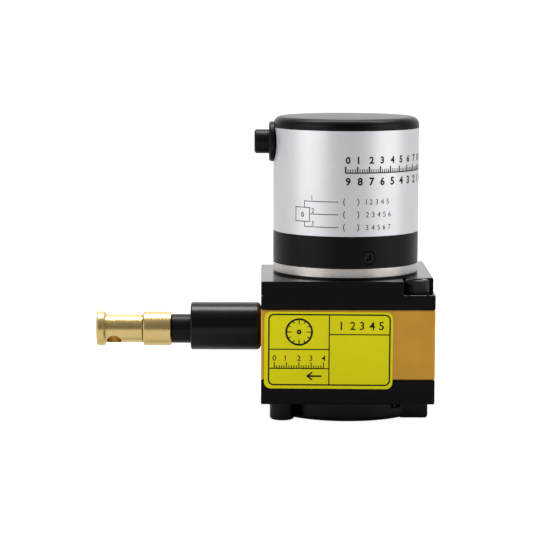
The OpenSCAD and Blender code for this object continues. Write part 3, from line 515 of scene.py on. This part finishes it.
def label_print():
    """Border, dividing lines, a plain dial, a plain scale, an arrow and figures on the label."""
    low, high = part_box("front_label")
    width, height = 36.85, 22.2
    askew = 0.3  # degrees
    left, right, bottom, top = 1.3, width - 0.87, 1.1, height - 0.75
    column, left_row, right_row = 18.6, height - 10.8, height - 6.45
    line, border, corner = 0.32, 0.42, 1.45
    bm = bmesh.new()
    add_strip(bm, rounded_rectangle(left, bottom, right, top, corner), border, closed=True)
    add_strip(bm, [(column, bottom), (column, top)], line)
    add_strip(bm, [(left, left_row), (column, left_row)], line)
    add_strip(bm, [(column, right_row), (right, right_row)], line)

    dial_x, dial_y, dial_r = (left + column) / 2, (left_row + top) / 2, 3.7
    marks, marks_per_quarter, long_mark, short_mark = 12, 3, 1.5, 0.9
    add_circle(bm, dial_x, dial_y, dial_r, 0.55, 48)
    add_circle(bm, dial_x, dial_y, 0.45, 0.5, 16)
    for step in range(marks):
        turn = math.radians(step * 360 / marks)
        inner = dial_r - (long_mark if step % marks_per_quarter == 0 else short_mark)
        ends = [(dial_x + r * math.cos(turn), dial_y + r * math.sin(turn)) for r in (inner, dial_r)]
        add_strip(bm, ends, 0.3)

    scale_y, margin, ticks = (bottom + left_row) / 2 - 0.4, 1.6, 20
    places = [left + margin + step * (column - left - 2 * margin) / ticks for step in range(ticks + 1)]
    add_strip(bm, [(left, scale_y), (column, scale_y)], line)
    add_ticks(bm, places, scale_y, short=0.9, long=1.8, thin=0.26, thick=0.26)
    for number, x in enumerate(places[::TICKS_PER_FIGURE]):
        add_digits(bm, str(number), x - 0.5, scale_y + 2.2, 1.6, 0.01)

    tip_x, tip_y, barb_x, barb_y = column - 6.2, scale_y - 2.2, 1.4, 1.1
    add_strip(bm, [(tip_x + 4.1, tip_y), (tip_x + 0.3, tip_y)], 0.5)
    barbs = [(tip_x + barb_x, tip_y + barb_y), (tip_x, tip_y), (tip_x + barb_x, tip_y - barb_y)]
    add_strip(bm, barbs, 0.45)

    for step in range(5):
        add_digits(bm, str(step + 1), column + 3.2 + step * 2.75, right_row + 1.35, 2.4, 0.012)

    tilt = Matrix.Rotation(math.radians(askew), 4, "Y")
    middle_x, middle_z = (low.x + high.x) / 2 / MM, (low.z + high.z) / 2 / MM
    place = Matrix.Translation((middle_x, low.y / MM - PRINT_PROUD, middle_z))
    stand = Matrix.Rotation(math.radians(90), 4, "X")
    to_middle = Matrix.Translation((-width / 2, -height / 2, 0))
    bm.transform(Matrix.Scale(MM, 4) @ place @ tilt @ stand @ to_middle)
    return new_piece("label_print", bm, ink, "housing")


def wrap_print():
    """A graduated scale between two rows of figures, and a plain three-line diagram, on the silver wrap."""
    radius = radius_about_z("cover_wrap") / MM
    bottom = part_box("cover_wrap")[0].z / MM
    arc = radius * math.pi / 180  # length of one degree; places along the wrap are degrees from the front
    bm = bmesh.new()

    first, pitch, count = -2.5, 9.2, 10
    upper, middle, lower = bottom + 20.9, bottom + 18.3, bottom + 14.7
    for step in range(count):
        angle = first + step * pitch
        add_digits(bm, str(step), angle * arc, upper, 2.1, 0.035)
        add_digits(bm, str(count - 1 - step), angle * arc, lower, 2.3, 0.035)
    add_strip(bm, [(first * arc, middle), ((first + (count - 1) * pitch) * arc, middle)], 0.34)
    ticks = (count - 1) * TICKS_PER_FIGURE + 1
    places = [(first + step * pitch / TICKS_PER_FIGURE) * arc for step in range(ticks)]
    add_ticks(bm, places, middle, short=1.1, long=1.85, thin=0.26, thick=0.42)

    thin, small = 0.22, 1.5
    box_left, box_right, box_low, box_high = -44.3 * arc, -31.2 * arc, bottom + 4.1, bottom + 8.15
    box = [(box_left, box_low), (box_right, box_low), (box_right, box_high), (box_left, box_high)]
    add_strip(bm, box, thin, closed=True)
    add_digits(bm, "0", -38.9 * arc, bottom + 5.3, small, 0.015)
    lead_from, lead_to = -35.8 * arc, -7.8 * arc
    rows = [bottom + 10.0, bottom + 6.33, bottom + 2.64]
    add_strip(bm, [(lead_from, box_high), (lead_from, rows[0]), (lead_to, rows[0])], thin)
    add_strip(bm, [(box_right, rows[1]), (lead_to, rows[1])], thin)
    add_strip(bm, [(lead_from, box_low), (lead_from, rows[2]), (lead_to, rows[2])], thin)
    bracket_r, bracket_w = 1.6, 0.24
    figures, figure_gap = 5, 0.9
    for number, row in enumerate(rows):
        add_digits(bm, str(number + 1), -29.5 * arc, row + 0.35, 1.35)
        add_strip(bm, arc_points(0.4 * arc, row, bracket_r, 140, 220, 8), bracket_w)
        add_strip(bm, arc_points(3.6 * arc, row, bracket_r, -40, 40, 8), bracket_w)
        x = 13.4 * arc
        for digit in range(figures):
            x = add_digits(bm, str(number + digit + 1), x, row - small / 2, small) + figure_gap

    # Cuts this far apart let the flat print bend round the wrap
    bend = 0.5
    along = [v.co.x for v in bm.verts]
    for step in range(math.floor(min(along) / bend), math.ceil(max(along) / bend) + 1):
        bmesh.ops.bisect_plane(bm, geom=[*bm.verts, *bm.edges, *bm.faces], plane_co=(bend * step, 0, 0),
                               plane_no=(1, 0, 0))
    out = radius + PRINT_PROUD
    for v in bm.verts:
        angle, z = v.co.x / radius, v.co.y
        v.co = Vector((out * math.sin(angle), -out * math.cos(angle), z)) * MM
    return new_piece("wrap_print", bm, ink, "housing")


# ---- Detailed screws, wire and spring ----

def polar(radius, angle, z):
    return Vector((radius * math.cos(angle), radius * math.sin(angle), z))


def ring_maker(count):
    """Gives a function that makes rings of points from pairs of a shape and a level.

    A shape is a radius, or a function of step and angle that gives one.
    """
    turns = [math.tau * i / count for i in range(count)]

    def radius_at(shape, i):
        return shape(i, turns[i]) if callable(shape) else shape

    return lambda profile: [[polar(radius_at(shape, i), turns[i], z) for i in range(count)]
                            for shape, z in profile]


def add_screw(bm, rings, turn):
    """Adds a closed stack of rings in millimetres, moved to its place by a matrix."""
    screw = bmesh.new()
    ring_stack(screw, rings)
    screw.transform(Matrix.Scale(MM, 4) @ turn)
    one = bpy.data.meshes.new("screw")
    screw.to_mesh(one)
    screw.free()
    bm.from_mesh(one)
    bpy.data.meshes.remove(one)


def knurled_screws():
    """The body's two socket-head screws, with knurled heads, a hexagon socket and a chamfered tip."""
    head_r, shank_r, chamfer = 3.5, 2.0, 0.5
    knurls, per_knurl, depth = 36, 4, 0.13
    socket_r, socket_depth, drill_tip = 1.5, 2.0, 0.6
    rings = ring_maker(knurls * per_knurl)

    def knurled(i, angle):
        return head_r - 0.02 - depth * (i % per_knurl in (1, 2))

    def hexagon(across):
        side = math.pi / 3
        return lambda i, angle: across / math.cos(angle % side - side / 2)

    bm = bmesh.new()
    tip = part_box("body_screws")[0].z / MM
    for side in (1, -1):
        (x, y), top = screw_head("body_screws", side)
        seat = top - BODY_HEAD_H
        profile = [
            (shank_r - chamfer, tip), (shank_r, tip + chamfer), (shank_r, seat),
            (head_r - 0.3, seat), (knurled, seat + 0.25), (knurled, top - 0.55),
            (head_r - 0.35, top - 0.18), (head_r - 0.65, top),
            (hexagon(socket_r + 0.15), top), (hexagon(socket_r), top - 0.15),
            (hexagon(socket_r), top - socket_depth), (0.2, top - socket_depth - drill_tip)]
        add_screw(bm, rings(profile), Matrix.Translation((x, y, 0)))
    piece = new_piece("knurled_body_screws", bm, materials["black_oxide_steel"],
                      "housing", 40)
    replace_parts(piece, "body_screws")


def cross_screws():
    """The cover's three countersunk screws: a domed face, a broken rim and a wide cross recess."""
    count = 3
    corners = [v.co / MM for v in nodes["cover_screws"].data.vertices]
    low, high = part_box("cover_screws")
    turn = sum(math.atan2(c.y, c.x) % (math.tau / count) for c in corners) / len(corners)
    out = polar(1, turn, 0)
    mine = [c for c in corners if c.dot(out) > 0.8 * c.xy.length]
    face, tip = max(c.dot(out) for c in mine), min(c.dot(out) for c in mine)
    length = face - tip
    middle = (low.z + high.z) / 2 / MM
    head_r, shank_r, chamfer = (high.z - low.z) / 2 / MM, 1.0, 0.3
    driven_to = math.radians(52)

    def cross(half_width, reach):
        def radius(i, angle):
            fold = (angle + math.pi / 4) % (math.pi / 2) - math.pi / 4
            across = half_width / max(1e-6, abs(math.sin(fold)))
            return min(reach / math.cos(fold), across)
        return radius

    profile = [
        (shank_r - chamfer, 0), (shank_r, chamfer), (shank_r, length - 1.1),
        (head_r - 0.12, length - 0.14), (head_r - 0.3, length - 0.03),
        (cross(0.42, 1.25), length), (cross(0.34, 1.15), length - 0.15), (cross(0.2, 0.7), length - 0.9)]
    rings = ring_maker(96)(profile)
    bm = bmesh.new()
    for step in range(count):
        angle = turn + step * math.tau / count
        stand = Matrix.Rotation(angle, 4, "Z") @ Matrix.Rotation(math.pi / 2, 4, "Y")
        spin = Matrix.Rotation(driven_to, 4, "Z")
        add_screw(bm, rings, Matrix.Translation(polar(tip, angle, middle)) @ stand @ spin)
    piece = new_piece("cross_cover_screws", bm, materials["black_oxide_steel"],
                      "housing", 25)
    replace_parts(piece, "cover_screws")


def stranded_wire():
    """Six strands laid round each other."""
    low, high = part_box("draw_wire")
    radius = (high.z - low.z) / 2 / MM
    y, z = (low.y + high.y) / 2 / MM, (low.z + high.z) / 2 / MM
    start, end = low.x / MM, high.x / MM
    strands, per_strand, groove = 6, 4, 0.16
    lay, per_turn = 0.45, 8
    around = strands * per_strand
    steps = round((end - start) / lay * per_turn)
    rings = []
    for step in range(steps + 1):
        twist = math.tau * step / per_turn
        ring = []
        for i in range(around):
            angle = math.tau * i / around
            r = radius * (1 - groove * (0.5 - 0.5 * math.cos(strands * angle)))
            point = polar(r, angle + twist, 0)
            ring.append(Vector((start + (end - start) * step / steps, y + point.x, z + point.y)) * MM)
        rings.append(ring)
    bm = bmesh.new()
    ring_stack(bm, rings)
    piece = new_piece("stranded_draw_wire", bm, materials["wire_steel"], None)
    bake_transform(piece)
    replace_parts(piece, "draw_wire")


def split_spring():
    """The power spring's coils stay in the can; its inner tab turns with the slotted arbor that holds it."""
    arbor_r = radius_about_z("spring_arbor")
    source = nodes["power_spring"].data

    def part(name, body, keep_tab):
        bm = bmesh.new()
        bm.from_mesh(source)
        tab = {f for f in bm.faces if any(v.co.xy.length < arbor_r for v in f.verts)}
        bmesh.ops.delete(bm, geom=[f for f in bm.faces if (f in tab) != keep_tab], context="FACES")
        bmesh.ops.holes_fill(bm, edges=[e for e in bm.edges if e.is_boundary])
        return new_piece(name, bm, materials["spring_steel"], body)

    part("spring_inner_tab", "drum", True)
    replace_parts(part("coiled_power_spring", "housing", False), "power_spring")


# ---- Stage, light and camera ----

def area_light(name, place, target, width, height, power):
    data = bpy.data.lights.new(name, "AREA")
    data.color = (1, 0.985, 0.965)
    data.shape = "RECTANGLE"
    data.size, data.size_y = width, height
    data.energy = power
    light = bpy.data.objects.new(name, data)
    light.location = place
    light.rotation_euler = (Vector(target) - Vector(place)).to_track_quat("-Z", "Y").to_euler()
    light.visible_camera = False
    bpy.context.scene.collection.objects.link(light)


def surroundings():
    """Dim room, lighter behind and above, with a white wall behind. The camera sees plain white."""
    world = bpy.data.worlds.new("studio")
    bpy.context.scene.world = world
    world.use_nodes = True
    tree = world.node_tree
    background = tree.nodes["Background"]

    def math_node(operation, first, second):
        node = tree.nodes.new("ShaderNodeMath")
        node.operation = operation
        for socket, value in zip(node.inputs, (first, second)):
            if isinstance(value, bpy.types.NodeSocket):
                tree.links.new(value, socket)
            else:
                socket.default_value = value
        return node.outputs["Value"]

    def map_range(value, start, end, low, high):
        node = tree.nodes.new("ShaderNodeMapRange")
        for key, number in (("From Min", start), ("From Max", end), ("To Min", low), ("To Max", high)):
            node.inputs[key].default_value = number
        tree.links.new(value, node.inputs["Value"])
        return node.outputs["Result"]

    wall_starts, wall_taper, ceiling_light, seen_white = 0.1, 0.6, 0.14, 1.1
    split = tree.nodes.new("ShaderNodeSeparateXYZ")
    direction = tree.nodes.new("ShaderNodeTexCoord").outputs["Generated"]
    tree.links.new(direction, split.inputs["Vector"])
    side = math_node("MULTIPLY", math_node("ABSOLUTE", split.outputs["X"], 0), wall_taper)
    behind = math_node("SUBTRACT", split.outputs["Y"], side)
    wall = map_range(behind, wall_starts, 0.95, 0.35, 1.5)
    ceiling = math_node("MULTIPLY", math_node("MAXIMUM", split.outputs["Z"], 0), ceiling_light)
    room = math_node("ADD", map_range(split.outputs["Y"], -0.7, 0.2, 0.16, 0.46), ceiling)
    lit_wall = math_node("MULTIPLY", wall, math_node("GREATER_THAN", behind, wall_starts))
    around = math_node("MAXIMUM", room, lit_wall)
    seen = tree.nodes.new("ShaderNodeLightPath").outputs["Is Camera Ray"]
    strength = math_node("MAXIMUM", around, math_node("MULTIPLY", seen, seen_white))
    tree.links.new(strength, background.inputs["Strength"])
    background.inputs["Color"].default_value = (0.965, 0.97, 1, 1)


def studio():
    """Broad soft boxes on both sides and a bright strip overhead."""
    target = (0, 0, 0.05)
    reach, height = 0.9, 0.1
    for degrees in (-58, 65):
        turn = math.radians(degrees)
        place = (reach * math.sin(turn), -reach * math.cos(turn), height)
        area_light("soft_box", place, target, width=0.8, height=1.1, power=6.3)
    area_light("top_strip", (0, 0.17, 0.9), target, width=1.2, height=0.3, power=15)
    surroundings()


def floor():
    """Pale floor, seen almost white and mirrored darker, most of all in a painted shadow round the foot."""
    gap, half_size, albedo, seen_glow = 0.00005, 30, 0.19, 0.93
    mesh = bpy.data.meshes.new("floor")
    bm = bmesh.new()
    bmesh.ops.create_grid(bm, x_segments=1, y_segments=1, size=half_size)
    bm.to_mesh(mesh)
    bm.free()
    plane = bpy.data.objects.new("floor", mesh)
    plane.location = (0, 0, cad_low.z - gap)
    bpy.context.scene.collection.objects.link(plane)
    finish = Finish("floor_paint")
    finish.set(Base_Color=(albedo, albedo, albedo, 1), Roughness=0.9, Emission_Color=(1, 1, 1, 1))
    seen = finish.add("ShaderNodeLightPath").outputs["Is Camera Ray"]
    narrowed = finish.add("ShaderNodeVectorMath", operation="MULTIPLY")
    narrowed.inputs[1].default_value = (2, 1, 1)
    finish.link(finish.coords, narrowed.inputs[0])
    away = finish.add("ShaderNodeVectorMath", operation="LENGTH")
    finish.link(narrowed.outputs["Vector"], away.inputs[0])
    # Painted shadow: the floor's glow in reflections is dimmer near the foot, and more in front than at the
    # sides.
    shade = finish.remap(away.outputs["Value"], 0.06, 0.42, start=0.03, end=0.10)
    glow = finish.add("ShaderNodeMix", data_type="FLOAT")
    glow.inputs["B"].default_value = seen_glow
    finish.link(seen, glow.inputs["Factor"])
    finish.link(shade, glow.inputs["A"])
    finish.link(glow.outputs["Result"], finish.shader.inputs["Emission Strength"])
    mesh.materials.append(finish.material)


def camera():
    """A long lens in front, a little left of the object and above it."""
    place_mm = (-24.884, -626.907, 119.679)
    pitch, yaw, roll = 0.1265, 0.0064, 0.0031  # radians
    data = bpy.data.cameras.new("camera")
    data.lens = 139.18
    data.clip_start, data.clip_end = 0.05, 100
    cam = bpy.data.objects.new("camera", data)
    cam.location = Vector(place_mm) * MM
    turn = Matrix.Rotation(-yaw, 4, "Z") @ Matrix.Rotation(math.pi / 2 - pitch, 4, "X")
    cam.rotation_euler = (turn @ Matrix.Rotation(roll, 4, "Z")).to_euler()
    bpy.context.scene.collection.objects.link(cam)
    bpy.context.scene.camera = cam


label_print()
wrap_print()
knurled_screws()
cross_screws()
stranded_wire()
split_spring()
studio()
floor()
camera()
bpy.context.scene.view_settings.view_transform = "Standard"
